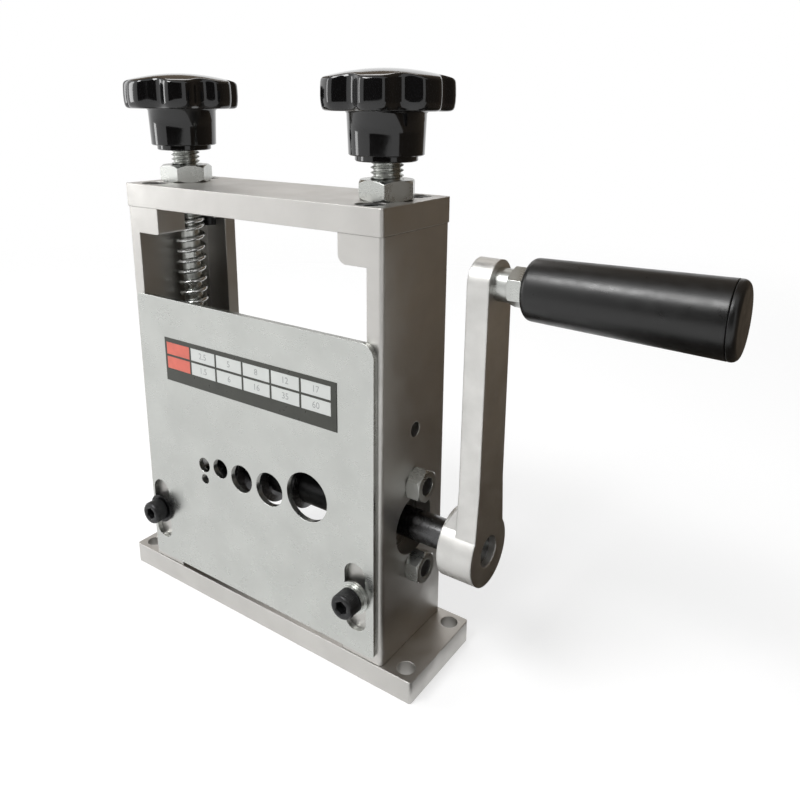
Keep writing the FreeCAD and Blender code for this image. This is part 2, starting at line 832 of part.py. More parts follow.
def disc_stack():
    """Ground discs behind the wire holes, held apart by sleeves."""
    bore = "shaft_diameter / 2 + fit_gap"
    discs = []
    sleeves = []
    previous = "stack_left"
    for hole in reversed(list(DISC_RADII)):
        radius = "disc_%s_radius" % hole
        start = "hole_%s_across - disc_thickness / 2" % hole
        outline = [
            ("0", bore),
            ("0", radius + " - disc_bevel"),
            ("(disc_thickness - disc_land) / 2", radius),
            ("(disc_thickness + disc_land) / 2", radius),
            ("disc_thickness", radius + " - disc_bevel"),
            ("disc_thickness", bore),
        ]
        discs.append(turned("disc_" + hole, outline, x=start, z="crank_axis_height"))
        sleeves.append(spacer_sleeve("sleeve_" + hole, previous, start))
        previous = "hole_%s_across + disc_thickness / 2" % hole
    sleeves.append(spacer_sleeve("sleeve_end", previous, "stack_right"))
    group("cutting_discs", discs)
    group("spacer_sleeves", sleeves)


def spacer_sleeve(name, start, end):
    bore = "shaft_diameter / 2 + fit_gap"
    length = "(%s) - (%s)" % (end, start)
    outline = [
        ("0", bore),
        ("0", "sleeve_diameter / 2"),
        (length, "sleeve_diameter / 2"),
        (length, bore),
    ]
    return turned(name, outline, x=start, z="crank_axis_height")


def pressure_roller():
    """The upper roller with straight teeth and a journal at each end."""
    body = start_body("pressure_roller", z="roller_axis_height")
    radius = "roller_diameter / 2"
    journal = "journal_diameter / 2"
    reach = "roller_half_length + journal_length"
    profile = body_sketch(body, "roller_outline", "XZ_Plane", [
        ("-(%s)" % reach, "0"),
        ("-(%s)" % reach, journal),
        ("-roller_half_length", journal),
        ("-roller_half_length", radius),
        ("roller_half_length", radius),
        ("roller_half_length", journal),
        (reach, journal),
        (reach, "0"),
    ])
    barrel = body.newObject("PartDesign::Revolution", "roller_barrel")
    barrel.Profile = profile
    barrel.ReferenceAxis = (profile, ["H_Axis"])
    barrel.Angle = 360
    doc.recompute()
    tooth_gap = body.newObject("PartDesign::SubtractiveBox", "roller_tooth_gap")
    bind(
        tooth_gap, Length="roller_half_length * 2", Width="roller_tooth_gap", Height="roller_tooth_gap",
    )
    place(
        tooth_gap, x="-roller_half_length", z="roller_diameter / 2 - roller_tooth_depth",
        turn=Rotation(Vector(1, 0, 0), 45),
    )
    doc.recompute()
    axis = next(item for item in body.Origin.OriginFeatures if item.Role == "X_Axis")
    teeth = body.newObject("PartDesign::PolarPattern", "roller_teeth")
    teeth.Originals = [tooth_gap]
    teeth.Axis = (axis, [""])
    teeth.Angle = 360
    teeth.Occurrences = ROLLER_TEETH
    body.Tip = teeth


def slide_block(side_name, side):
    """A block that slides in its column and carries one journal of the roller."""
    label = side_name + "_slide_block"
    body = start_body(label)
    low_x, high_x = "block_inner_face", "block_outer_face"
    if side < 0:
        low_x, high_x = "-block_outer_face", "-block_inner_face"
    block_feature(
        body, "Additive", label + "_solid",
        (low_x, "-block_half_depth", "block_bottom"), (high_x, "block_half_depth", "block_top"),
    )
    bush_radius = "journal_diameter / 2 + running_gap + bush_wall"
    seat_start = "block_inner_face" if side > 0 else "-roller_half_length - journal_length - slide_gap"
    seat_depth = "roller_half_length + journal_length + slide_gap - block_inner_face"
    round_feature(
        body, "Subtractive", label + "_seat", bush_radius + " + fit_gap", seat_depth,
        x=seat_start, z="roller_axis_height", turn=CYLINDER_ALONG_X,
    )
    round_feature(
        body, "Subtractive", label + "_rod_hole", "rod_pin_diameter / 2 + running_gap", "clip_roof",
        x=signed(side, "rod_offset"), z="clip_slot_top",
    )
    clip_half = "clip_diameter / 2 + slide_gap"
    clip_low = "%s - (%s)" % (signed(side, "rod_offset"), clip_half)
    clip_high = "%s + (%s)" % (signed(side, "rod_offset"), clip_half)
    if side > 0:
        clip_high = "block_outer_face"
    else:
        clip_low = "-block_outer_face"
    block_feature(
        body, "Subtractive", label + "_clip_slot",
        (clip_low, "-block_half_depth", "clip_slot_bottom"), (clip_high, clip_half, "clip_slot_top"),
    )
    label = side_name + "_journal_bush"
    ring = [
        ("0", "journal_diameter / 2 + running_gap"),
        ("0", bush_radius),
        (seat_depth, bush_radius),
        (seat_depth, "journal_diameter / 2 + running_gap"),
    ]
    nodes[label] = turned(
        label, ring, x=signed(side, "block_inner_face"), z="roller_axis_height",
        turn=TO_LEFT if side < 0 else None,
    )


def adjusting_rod(side_name, side):
    """A threaded rod whose pin passes through the spring and is clipped in the slide block."""
    label = side_name + "_adjusting_rod"
    neck_low = "clip_slot_top - running_gap - clip_thickness"
    neck_high = "clip_slot_top - running_gap"
    outline = [
        ("rod_foot", "0"),
        ("rod_foot", "rod_pin_diameter / 2"),
        (neck_low, "rod_pin_diameter / 2"),
        (neck_low, "clip_neck_diameter / 2"),
        (neck_high, "clip_neck_diameter / 2"),
        (neck_high, "rod_pin_diameter / 2"),
        ("rod_shoulder_height", "rod_pin_diameter / 2"),
        ("rod_shoulder_height", "rod_diameter / 2"),
        ("rod_top", "rod_diameter / 2"),
        ("rod_top", "0"),
    ]
    nodes[label] = turned(label, outline, x=signed(side, "rod_offset"), turn=UP)
    label = side_name + "_rod_clip"
    ring = [
        ("0", "clip_neck_diameter / 2"),
        ("0", "clip_diameter / 2"),
        ("clip_thickness", "clip_diameter / 2"),
        ("clip_thickness", "clip_neck_diameter / 2"),
    ]
    nodes[label] = turned(label, ring, x=signed(side, "rod_offset"), z=neck_low, turn=UP)
    label = side_name + "_lock_nut"
    nodes[label] = hex_nut(
        label, "lock_nut_across", "lock_nut_thickness", "rod_diameter / 2 + running_gap",
        x=signed(side, "rod_offset"), z="top_face", turn=UP,
    )


def star_knob(side_name, side):
    """A seven-lobed knob with a low dome, a tapered neck and a step at its foot."""
    label = side_name + "_star_knob"
    body = start_body(label, x=signed(side, "rod_offset"), z="knob_foot_height")
    neck_top = "knob_foot_step + knob_neck_height"
    rim_top = neck_top + " + knob_rim_height"
    crown = rim_top + " + knob_dome_height"
    rim = "knob_diameter / 2"
    profile = body_sketch(body, label + "_outline", "XZ_Plane", [
        ("0", "rod_grip"),
        ("rod_diameter / 2 + fit_gap", "rod_grip"),
        ("rod_diameter / 2 + fit_gap", "0"),
        ("knob_foot_diameter / 2", "0"),
        ("knob_foot_diameter / 2", "knob_foot_step"),
        ("knob_neck_diameter / 2", "knob_foot_step"),
        ("knob_shoulder_diameter / 2", neck_top),
        (rim, neck_top),
        (rim, rim_top),
        (rim + " * dome_edge_share", rim_top + " + knob_dome_height * dome_edge_lift"),
        (rim + " * dome_crown_share", rim_top + " + knob_dome_height * dome_crown_lift"),
        ("0", crown),
    ])
    solid = body.newObject("PartDesign::Revolution", label + "_solid")
    solid.Profile = profile
    solid.ReferenceAxis = (profile, ["V_Axis"])
    solid.Angle = 360
    doc.recompute()
    scallop = round_feature(
        body, "Subtractive", label + "_scallop", "knob_scallop_radius",
        "knob_rim_height + knob_dome_height", x="knob_scallop_reach", z=neck_top,
    )
    doc.recompute()
    axis = next(item for item in body.Origin.OriginFeatures if item.Role == "Z_Axis")
    lobes = body.newObject("PartDesign::PolarPattern", label + "_lobes")
    lobes.Originals = [scallop]
    lobes.Axis = (axis, [""])
    lobes.Angle = 360
    lobes.Occurrences = KNOB_LOBES
    body.Tip = lobes


def arc_middle(start, tangent, end):
    """The middle point of the arc that leaves start along tangent and reaches end."""
    chord = end - start
    along = Vector(chord).normalize()
    turn = tangent.getAngle(along)
    across = tangent - along * tangent.dot(along)
    if across.Length < 1e-9:
        return start + chord * 0.5
    return start + chord * 0.5 + across.normalize() * (chord.Length / 2 * math.tan(turn / 2))


def biarc(start, start_tangent, end, end_tangent):
    """Two arcs that join smoothly and match both end tangents."""
    span = end - start
    both = start_tangent + end_tangent
    spread = 2 * (1 - start_tangent.dot(end_tangent))
    reach = (-span.dot(both) + math.sqrt(span.dot(both) ** 2 + spread * span.dot(span))) / spread
    joint = (start + start_tangent * reach + end - end_tangent * reach) * 0.5
    first = Part.Arc(start, arc_middle(start, start_tangent, joint), joint)
    second = Part.Arc(joint, arc_middle(end, end_tangent * -1, joint), end)
    return [first.toShape(), second.toShape()]


def spring_path(radius, bend, straight, bottom, top, pitch):
    """A coil with a straight leg at each end, square to the faces it stands between."""
    up = Vector(0, 0, 1)
    rise = pitch / (2 * math.pi)
    slant = Vector(0, radius, rise).normalize()
    lean = slant.getAngle(up)
    leg_run = bend * math.tan(lean / 2)
    leg_height = straight + leg_run * (1 + slant.z)
    height = top - bottom - 2 * leg_height
    quarters = round(height / pitch * 4)
    rise = height / quarters * 4 / (2 * math.pi)

    def coil(angle):
        return Vector(
            radius * math.cos(angle), radius * math.sin(angle), bottom + leg_height + rise * angle
        )

    def heading(angle):
        return Vector(-radius * math.sin(angle), radius * math.cos(angle), rise).normalize()

    last = quarters * math.pi / 2
    low_bend = coil(0) - (up + heading(0)) * leg_run
    high_bend = coil(last) + (up + heading(last)) * leg_run
    edges = [Part.LineSegment(Vector(low_bend.x, low_bend.y, bottom), low_bend).toShape()]
    edges.append(Part.Arc(low_bend, arc_middle(low_bend, up, coil(0)), coil(0)).toShape())
    for quarter in range(quarters):
        first = quarter * math.pi / 2
        second = first + math.pi / 2
        edges += biarc(coil(first), heading(first), coil(second), heading(second))
    edges.append(Part.Arc(coil(last), arc_middle(coil(last), heading(last), high_bend), high_bend).toShape())
    edges.append(Part.LineSegment(high_bend, Vector(high_bend.x, high_bend.y, top)).toShape())
    print("spring turns %.2f, mean gap between turns %.2f" % (quarters / 4, height / quarters * 4))
    return Part.Wire(edges)


def least_gap(wire, wire_diameter):
    """The least gap of a tube to itself, measured on points along its path."""
    step = 0.5
    points = wire.discretize(Distance=step)
    nearest = int(2.5 * wire_diameter / step)
    farthest = int(60 / step)
    gaps = [
        (points[i] - points[j]).Length - wire_diameter
        for i in range(len(points))
        for j in range(i + nearest, min(i + nearest + farthest, len(points)))
    ]
    return min(gaps)


def compression_spring(side_name, side):
    """One unbroken wire around the rod's pin, from the slide block up to the rod's shoulder."""
    label = side_name + "_spring"
    wire_radius = num("spring_wire") / 2
    bottom = num("block_top")
    height = num("rod_shoulder_height") - num("running_gap") - bottom
    path = spring_path(
        num("spring_mean_diameter") / 2, num("spring_bend"), num("spring_wire"),
        0.0, height, num("spring_pitch"),
    )
    start = path.Vertexes[0].Point
    section = Part.Wire(Part.Circle(start, Vector(0, 0, 1), wire_radius).toShape())
    tube = path.makePipeShell([section], True, False)
    print("%s least gap to itself %.2f" % (label, least_gap(path, num("spring_wire"))))
    spring = doc.addObject("Part::Feature", label)
    spring.Shape = Part.Solid(tube) if tube.ShapeType == "Shell" else tube
    legs_clear_of_wall = Rotation(Vector(0, 0, 1), side * 90)
    spring.Placement = Placement(Vector(side * num("rod_offset"), 0, bottom), legs_clear_of_wall)
    nodes[label] = spring


def crank_arm():
    """A flat arm with a round boss on the shaft and a rounded end at the grip."""
    body = start_body("crank_arm", z="crank_axis_height")
    round_feature(
        body, "Additive", "arm_boss", "boss_diameter / 2", "arm_outer_face - boss_inner_face",
        x="boss_inner_face", turn=CYLINDER_ALONG_X,
    )
    round_feature(
        body, "Additive", "arm_end", "arm_top_width / 2", "arm_thickness",
        x="arm_inner_face", z="crank_radius", turn=CYLINDER_ALONG_X,
    )
    flare = body_sketch(body, "arm_flare_outline", "YZ_Plane", [
        ("-arm_top_width / 2", "crank_radius"),
        ("arm_top_width / 2", "crank_radius"),
        ("arm_low_width / 2", "boss_diameter"),
        ("arm_foot_width / 2", "arm_foot_height"),
        ("-arm_foot_width / 2", "arm_foot_height"),
        ("-arm_low_width / 2", "boss_diameter"),
    ])
    flare.setExpression("AttachmentOffset.Base.z", bound("arm_inner_face"))
    web = body.newObject("PartDesign::Pad", "arm_flare")
    web.Profile = flare
    bind(web, Length="arm_thickness")
    gusset = pad(body, "arm_gusset", "XZ_Plane", [
        ("arm_inner_face", "0"),
        ("arm_inner_face - gusset_length", "0"),
        ("arm_inner_face - gusset_length", "gusset_root"),
        ("arm_inner_face", "gusset_root + gusset_height"),
    ], "arm_low_width")
    gusset.Midplane = True
    round_feature(
        body, "Subtractive", "arm_shaft_bore", "shaft_diameter / 2 + fit_gap",
        "arm_outer_face - boss_inner_face", x="boss_inner_face", turn=CYLINDER_ALONG_X,
    )
    round_feature(
        body, "Subtractive", "arm_spindle_bore", "spindle_diameter / 2 + fit_gap", "arm_thickness",
        x="arm_inner_face", z="crank_radius", turn=CYLINDER_ALONG_X,
    )
    screw_x = "(boss_inner_face + arm_inner_face) / 2"
    round_feature(
        body, "Subtractive", "arm_set_screw_tap",
        "set_screw_diameter / 2 + fit_gap", "boss_diameter / 2 + slide_gap", x=screw_x, turn=CYLINDER_ALONG_Y,
    )
    screw = doc.addObject("Part::Cylinder", "set_screw_solid")
    bind(screw, Radius="set_screw_diameter / 2", Height="set_screw_length")
    place(screw, turn=CYLINDER_ALONG_X)
    socket = hexagon(
        "set_screw_socket", "set_screw_diameter / 2", "set_screw_length / 2", x="set_screw_length / 2"
    )
    nodes["crank_set_screw"] = cut(
        "crank_set_screw", screw, socket, x=screw_x, y="shaft_diameter / 2 + fit_gap",
        z="crank_axis_height", turn=TO_BACK,
    )


def grip_spindle():
    """A headed axle screwed through the arm, with a sleeve and a nut against the arm."""
    radius = "spindle_diameter / 2"
    head = "spindle_head_diameter / 2"
    head_face = "grip_socket_face + grip_end_gap"
    outline = [
        ("arm_inner_face", "0"),
        ("arm_inner_face", radius),
        (head_face, radius),
        (head_face, head),
        (head_face + " + spindle_head_height", head),
        (head_face + " + spindle_head_height", "0"),
    ]
    nodes["grip_spindle"] = turned("grip_spindle", outline, z="grip_axis_height")
    ring = [
        ("0", radius + " + fit_gap"),
        ("0", "spindle_sleeve_diameter / 2"),
        ("spindle_sleeve_length", "spindle_sleeve_diameter / 2"),
        ("spindle_sleeve_length", radius + " + fit_gap"),
    ]
    nodes["spindle_sleeve"] = turned("spindle_sleeve", ring, x="arm_outer_face", z="grip_axis_height")
    nodes["spindle_nut"] = hex_nut(
        "spindle_nut", "nut_across", "spindle_nut_length", radius + " + fit_gap",
        x="spindle_nut_face", z="grip_axis_height",
    )


def handle_grip():
    """A slightly tapered grip that turns on the spindle, closed by a cap."""
    small = "grip_small_diameter / 2"
    large = "grip_large_diameter / 2"
    seam = "grip_end - grip_cap_length"
    bore = "spindle_diameter / 2 + running_gap"
    socket = "grip_socket_diameter / 2"
    outline = [
        ("grip_start", bore),
        ("grip_start", small + " - grip_round"),
        ("grip_start + grip_round_step", small + " - grip_round_step"),
        ("grip_start + grip_round", small),
        (seam, large),
        (seam, socket),
        ("grip_socket_face", socket),
        ("grip_socket_face", bore),
    ]
    nodes["handle_grip"] = turned("handle_grip", outline, z="grip_axis_height")
    spigot = seam + " - (grip_socket_depth - spindle_head_height) / 3"
    outline = [
        (spigot, "0"),
        (spigot, socket + " - fit_gap"),
        (seam, socket + " - fit_gap"),
        (seam, large),
        ("grip_end - grip_round", large),
        ("grip_end - grip_round_step", large + " - grip_round_step"),
        ("grip_end", large + " - grip_round"),
        ("grip_end", "0"),
    ]
    nodes["grip_end_cap"] = turned("grip_end_cap", outline, z="grip_axis_height")


def check_and_write():
    """Stop on any failed object, then write one file per node."""
    failed = [item.Name for item in doc.Objects if "Invalid" in item.State or "Error" in item.State]
    if failed:
        raise RuntimeError("failed objects: " + ", ".join(failed))
    for name, node in nodes.items():
        if node.Shape.isNull() or not node.Shape.isValid():
            raise RuntimeError("bad shape: " + name)
    os.makedirs("parts", exist_ok=True)
    for name, node in nodes.items():
        node.Shape.exportStep("parts/%s.step" % name)
        print("%s: %d solids, %.1f mm3" % (name, len(node.Shape.Solids), node.Shape.Volume))


base_plate()
top_plate()
frame_screws()
for side_name, side in SIDES:
    column(side_name, side)
    bearing_housing(side_name, side)
    slide_block(side_name, side)
    adjusting_rod(side_name, side)
    star_knob(side_name, side)
    compression_spring(side_name, side)
housing_fasteners()
guide_plate()
size_label()
guide_plate_fasteners()
drive_shaft()
disc_stack()
pressure_roller()
crank_arm()
grip_spindle()
handle_grip()
doc.recompute()
check_and_write()
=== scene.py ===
import json
import math

import bmesh
import bpy
from mathutils import Matrix, Vector


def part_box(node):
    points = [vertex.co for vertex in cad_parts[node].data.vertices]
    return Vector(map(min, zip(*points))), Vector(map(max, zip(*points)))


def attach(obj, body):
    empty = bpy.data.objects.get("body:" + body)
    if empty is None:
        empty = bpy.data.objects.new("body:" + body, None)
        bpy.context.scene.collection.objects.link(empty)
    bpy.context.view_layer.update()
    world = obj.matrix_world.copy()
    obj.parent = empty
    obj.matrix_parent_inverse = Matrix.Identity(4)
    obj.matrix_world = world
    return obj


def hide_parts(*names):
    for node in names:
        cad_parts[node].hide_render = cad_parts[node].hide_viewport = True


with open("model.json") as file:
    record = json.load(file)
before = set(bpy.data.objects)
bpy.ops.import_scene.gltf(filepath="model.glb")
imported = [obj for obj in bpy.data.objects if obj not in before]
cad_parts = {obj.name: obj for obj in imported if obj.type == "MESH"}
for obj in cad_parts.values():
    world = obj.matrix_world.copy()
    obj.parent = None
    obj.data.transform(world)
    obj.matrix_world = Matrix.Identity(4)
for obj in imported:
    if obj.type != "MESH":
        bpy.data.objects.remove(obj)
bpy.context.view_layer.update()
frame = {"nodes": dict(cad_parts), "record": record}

MM = 0.001

# Materials


class Graph:
    """A material's node tree with its Principled shader."""

    def __init__(self, name):
        self.material = bpy.data.materials.new(name)
        self.material.use_nodes = True
        self.tree = self.material.node_tree
        self.shader = self.tree.nodes["Principled BSDF"]
        self.place = self.node("ShaderNodeTexCoord").outputs["Object"]

    def node(self, kind, **values):
        made = self.tree.nodes.new(kind)
        for key, value in values.items():
            setattr(made, key, value)
        return made

    def link(self, start, end):
        self.tree.links.new(start, end)

    def noise(self, size_mm, detail=3.0, stretch=(1.0, 1.0, 1.0)):
        """Noise whose largest features are about size_mm wide."""
        mapping = self.node("ShaderNodeMapping")
        mapping.inputs["Scale"].default_value = stretch
        self.link(self.place, mapping.inputs["Vector"])
        noise = self.node("ShaderNodeTexNoise")
        noise.inputs["Scale"].default_value = 1.0 / (size_mm * MM)
        noise.inputs["Detail"].default_value = detail
        self.link(mapping.outputs["Vector"], noise.inputs["Vector"])
        return noise.outputs["Fac"]

    def span(self, value, low, high, start=0.3, end=0.7):
        """The value from start to end, mapped to low and high."""
        node = self.node("ShaderNodeMapRange")
        for key, number in (("From Min", start), ("From Max", end), ("To Min", low), ("To Max", high)):
            node.inputs[key].default_value = number
        self.link(value, node.inputs["Value"])
        return node.outputs["Result"]

    def blend(self, factor, first, second):
        """A colour between two colours or sockets."""
        node = self.node("ShaderNodeMix", data_type="RGBA")
        self.link(factor, node.inputs["Factor"])
        for socket, value in ((node.inputs[6], first), (node.inputs[7], second)):
            if isinstance(value, tuple):
                socket.default_value = (*value, 1.0)
            else:
                self.link(value, socket)
        return node.outputs[2]


def shade(colour, factor):
    return tuple(min(1.0, part * factor) for part in colour)


# Painted shade along seams: how far the dark line reaches and how dark it is.
PAINTED_SEAM_SHADE_REACH = 0.16
PAINTED_SEAM_SHADE = 0.12
# Edges lighten where the bevelled normal turns away: partly wear, partly a painted highlight.
WEAR_AND_HIGHLIGHT_FACING = (0.8, 0.995)
BUMP_STRENGTH = 0.6
COAT_ROUGHNESS = 0.06


def surface(name, colour, rough, metallic=0.0, grain_mm=0.3, grain_depth_mm=0.02, mottle=0.06,
            mottle_mm=14.0, rough_play=0.06, edge_mm=0.3, edge_wear_and_highlight=1.0, stretch=(1.0, 1.0, 1.0),
            coat=0.0, specular=0.5, painted_seam_shade_heights=()):
    """A finish with mottled colour, uneven sheen, fine grain and softened edges, lightened partly as wear and
    partly as a painted highlight.

    Seams are heights in mm at which a painted shade line darkens the colour where two pieces meet.
    """
    graph = Graph(name)
    shader = graph.shader
    patches = graph.span(graph.noise(mottle_mm, 4.0), 0.0, 1.0)
    base = graph.blend(patches, shade(colour, 1.0 - mottle), shade(colour, 1.0 + mottle))
    # Painted shade: the colour darkens in a thin band at each seam height, where shade falls between pieces.
    for height in painted_seam_shade_heights:
        split = graph.node("ShaderNodeSeparateXYZ")
        graph.link(graph.place, split.inputs["Vector"])
        near = graph.node("ShaderNodeMath", operation="COMPARE")
        graph.link(split.outputs["Z"], near.inputs[0])
        near.inputs[1].default_value = height * MM
        near.inputs[2].default_value = PAINTED_SEAM_SHADE_REACH * MM
        base = graph.blend(near.outputs["Value"], base, shade(colour, PAINTED_SEAM_SHADE))
    corner = graph.node("ShaderNodeBevel", samples=4)
    corner.inputs["Radius"].default_value = edge_mm * MM
    # Lightened edges: partly wear, partly a painted highlight along the rims.
    if edge_wear_and_highlight != 1.0:
        facing = graph.node("ShaderNodeVectorMath", operation="DOT_PRODUCT")
        graph.link(corner.outputs["Normal"], facing.inputs[0])
        graph.link(graph.node("ShaderNodeNewGeometry").outputs["Normal"], facing.inputs[1])
        wear_and_highlight = graph.span(facing.outputs["Value"], 1.0, 0.0, *WEAR_AND_HIGHLIGHT_FACING)
        base = graph.blend(wear_and_highlight, base, shade(colour, edge_wear_and_highlight))
    graph.link(base, shader.inputs["Base Color"])
    grain = graph.noise(grain_mm, 3.0, stretch)
    sheen_map = graph.node("ShaderNodeMath", operation="ADD")
    graph.link(graph.span(graph.noise(mottle_mm * 0.4, 5.0), -rough_play, rough_play), sheen_map.inputs[0])
    graph.link(graph.span(grain, rough - rough_play / 2, rough + rough_play / 2), sheen_map.inputs[1])
    graph.link(sheen_map.outputs["Value"], shader.inputs["Roughness"])
    bump = graph.node("ShaderNodeBump")
    bump.inputs["Strength"].default_value = BUMP_STRENGTH
    bump.inputs["Distance"].default_value = grain_depth_mm * MM
    graph.link(grain, bump.inputs["Height"])
    graph.link(corner.outputs["Normal"], bump.inputs["Normal"])
    graph.link(bump.outputs["Normal"], shader.inputs["Normal"])
    shader.inputs["Metallic"].default_value = metallic
    shader.inputs["Coat Weight"].default_value = coat
    shader.inputs["Coat Roughness"].default_value = COAT_ROUGHNESS
    shader.inputs["Specular IOR Level"].default_value = specular
    return graph.material


BODY_METAL = (0.53, 0.52, 0.50)
finishes = {
    "blasted_aluminium": surface("blasted_aluminium", BODY_METAL, 0.42, 1.0, 0.28, 0.03, 0.05,
                                 18.0, 0.07, 0.45, 1.22),
    "cast_aluminium": surface("cast_aluminium", (0.66, 0.655, 0.635), 0.44, 1.0, 0.4, 0.06, 0.07,
                              9.0, 0.08, 0.7, 1.15),
    "zinc_steel": surface("zinc_steel", (0.49, 0.50, 0.48), 0.3, 1.0, 0.5, 0.01, 0.05, 16.0, 0.07,
                          0.25, 1.35, (0.25, 1.0, 2.0)),
    "bright_steel": surface("bright_steel", (0.34, 0.34, 0.335), 0.33, 1.0, 0.2, 0.008, 0.08, 8.0, 0.08,
                            0.2, 1.2, (1.0, 1.0, 4.0)),
    # The dark colour is partly the hardened steel's own tone, partly painted shade for the blades and shaft
    # inside the frame; the strong edge lightening is a painted highlight on the blade edges.
    "hard_steel": surface("hard_steel", (0.10, 0.10, 0.102), 0.26, 1.0, 0.15, 0.006, 0.12, 6.0, 0.1,
                          0.12, 2.2, (4.0, 1.0, 1.0)),
    # Black oxide on the screws; on the spacer sleeves the black also stands as painted shade inside the
    # frame, and the edge lightening is a painted highlight.
    "black_steel": surface("black_steel", (0.020, 0.020, 0.021), 0.36, 0.55, 0.2, 0.01, 0.2, 3.0, 0.08,
                           0.15, 2.6),
    "bronze": surface("bronze", (0.42, 0.27, 0.12), 0.42, 1.0, 0.3, 0.03, 0.1, 4.0),
    "black_gloss_plastic": surface("black_gloss_plastic", (0.005, 0.005, 0.0055), 0.09, 0.0, 2.6, 0.025,
                                   0.15, 9.0, 0.02, 0.2, 1.0, coat=0.35, specular=0.4),
    "black_matte_plastic": surface("black_matte_plastic", (0.005, 0.005, 0.005), 0.33, 0.0, 0.35,
                                   0.004, 0.15, 8.0, 0.05, 0.25, 1.0, specular=0.5),
    "label_film": surface("label_film", (0.032, 0.034, 0.026), 0.34, 0.0, 0.8, 0.006, 0.15, 6.0),
}
# The columns carry painted shade lines where they meet the base and the top plate.
column_metal_with_painted_shade = surface("column_aluminium_painted_shade", BODY_METAL, 0.42, 1.0, 0.28, 0.03, 0.05, 18.0, 0.07, 0.45, 1.22,
                       painted_seam_shade_heights=(8.0, 148.5))
label_white = surface("label_white", (0.69, 0.71, 0.69), 0.4, 0.0, 0.6, 0.005, 0.03, 7.0)
label_red = surface("label_red", (0.72, 0.16, 0.115), 0.4, 0.0, 0.6, 0.005, 0.08, 5.0)
label_ink = surface("label_ink", (0.36, 0.37, 0.37), 0.5, 0.0, 0.3, 0.002, 0.1, 2.0)
spring_wire = surface("spring_wire", (0.70, 0.71, 0.70), 0.24, 1.0, 0.3, 0.006, 0.08, 5.0)


def washer_finish():
    """Zinc on the right, black oxide on the left."""
    material = finishes["zinc_steel"].copy()
    material.name = "washer_steel"
    tree = material.node_tree
    shader = tree.nodes["Principled BSDF"]
    split = tree.nodes.new("ShaderNodeSeparateXYZ")
    tree.links.new(tree.nodes.new("ShaderNodeTexCoord").outputs["Object"], split.inputs["Vector"])
    side = tree.nodes.new("ShaderNodeMath")
    side.operation = "GREATER_THAN"
    side.inputs[1].default_value = 0.0
    tree.links.new(split.outputs["X"], side.inputs[0])
    mix = tree.nodes.new("ShaderNodeMix")
    mix.data_type = "RGBA"
    tree.links.new(side.outputs["Value"], mix.inputs["Factor"])
    mix.inputs[6].default_value = (0.03, 0.03, 0.031, 1.0)
    tree.links.new(shader.inputs["Base Color"].links[0].from_socket, mix.inputs[7])
    tree.links.new(mix.outputs[2], shader.inputs["Base Color"])
    return material


for row in frame["record"]["subparts"]:
    mesh = frame["nodes"][row["node"]].data
    mesh.materials.clear()
    mesh.materials.append(finishes[row["material_slot"]])
frame["nodes"]["guide_plate_washers"].data.materials[0] = washer_finish()
for side in ("left", "right"):
    frame["nodes"][side + "_column"].data.materials[0] = column_metal_with_painted_shade

# Mesh helpers


def stand_up(point):
    return point


def point_right(point):
    """Turns +Z to +X."""
    return (point[2], point[0], point[1])


def point_front(point):
    """Turns +Z to -Y."""
    return (point[0], -point[2], point[1])


def rings_of(levels, steps, outline=None):
    """Points and faces of rings stacked along Z. A level is (height, radius) or a function of angle."""
    points, faces, rings = [], [], []
    for level in levels:
        if level[1] == 0.0:
            rings.append([len(points)])
            points.append((0.0, 0.0, level[0]))
            continue
        start = len(points)
        for k in range(steps):
            angle = 2 * math.pi * k / steps
            radius, height = level[1], level[0]
            if callable(radius):
                radius = radius(angle)
            if callable(height):
                height = height(angle)
            points.append((radius * math.cos(angle), radius * math.sin(angle), height))
        rings.append(list(range(start, start + steps)))
    for low, high in zip(rings, rings[1:]):
        for k in range(steps):
            j = (k + 1) % steps
            if len(low) == 1:
                faces.append((low[0], high[j], high[k]))
            elif len(high) == 1:
                faces.append((low[k], low[j], high[0]))
            else:
                faces.append((low[k], low[j], high[j], high[k]))
    return points, faces


def piece(name, parts, material, body, replaced=(), sharp=32.0):
    """One object from several (points, faces) in mm, riding on a body."""
    mesh = bpy.data.meshes.new(name)
    points, faces = [], []
    for part_points, part_faces in parts:
        first = len(points)
        points += [tuple(MM * value for value in point) for point in part_points]
        faces += [tuple(first + index for index in face) for face in part_faces]
    mesh.from_pydata(points, [], faces)
    work = bmesh.new()
    work.from_mesh(mesh)
    bmesh.ops.recalc_face_normals(work, faces=work.faces)
    work.to_mesh(mesh)
    work.free()
    for polygon in mesh.polygons:
        polygon.use_smooth = True
    mesh.set_sharp_from_angle(angle=math.radians(sharp))
    mesh.materials.append(material)
    made = bpy.data.objects.new(name, mesh)
    bpy.context.scene.collection.objects.link(made)
    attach(made, body)
    if replaced:
        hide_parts(*replaced)
    return made


def moved(part, turn, x, y, z):
    points, faces = part
    turned = [turn(point) for point in points]
    return [(px + x, py + y, pz + z) for px, py, pz in turned], faces


def centre_of(node):
    low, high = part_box(node)
    return (low + high) / 2 / MM


def low_of(node):
    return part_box(node)[0] / MM


def high_of(node):
    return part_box(node)[1] / MM


# Star knobs

LOBES = 7
STAR_RADIUS = 20.0
SCALLOP_REACH = 22.0
SCALLOP_RADIUS = 5.2
KNOB_STEPS = 252
FOOT_STEP = 1.7
NECK_TOP = 14.2
RIM_HEIGHT = 9.0
DOME_HEIGHT = 3.0
SOFTEN_STEPS = 5


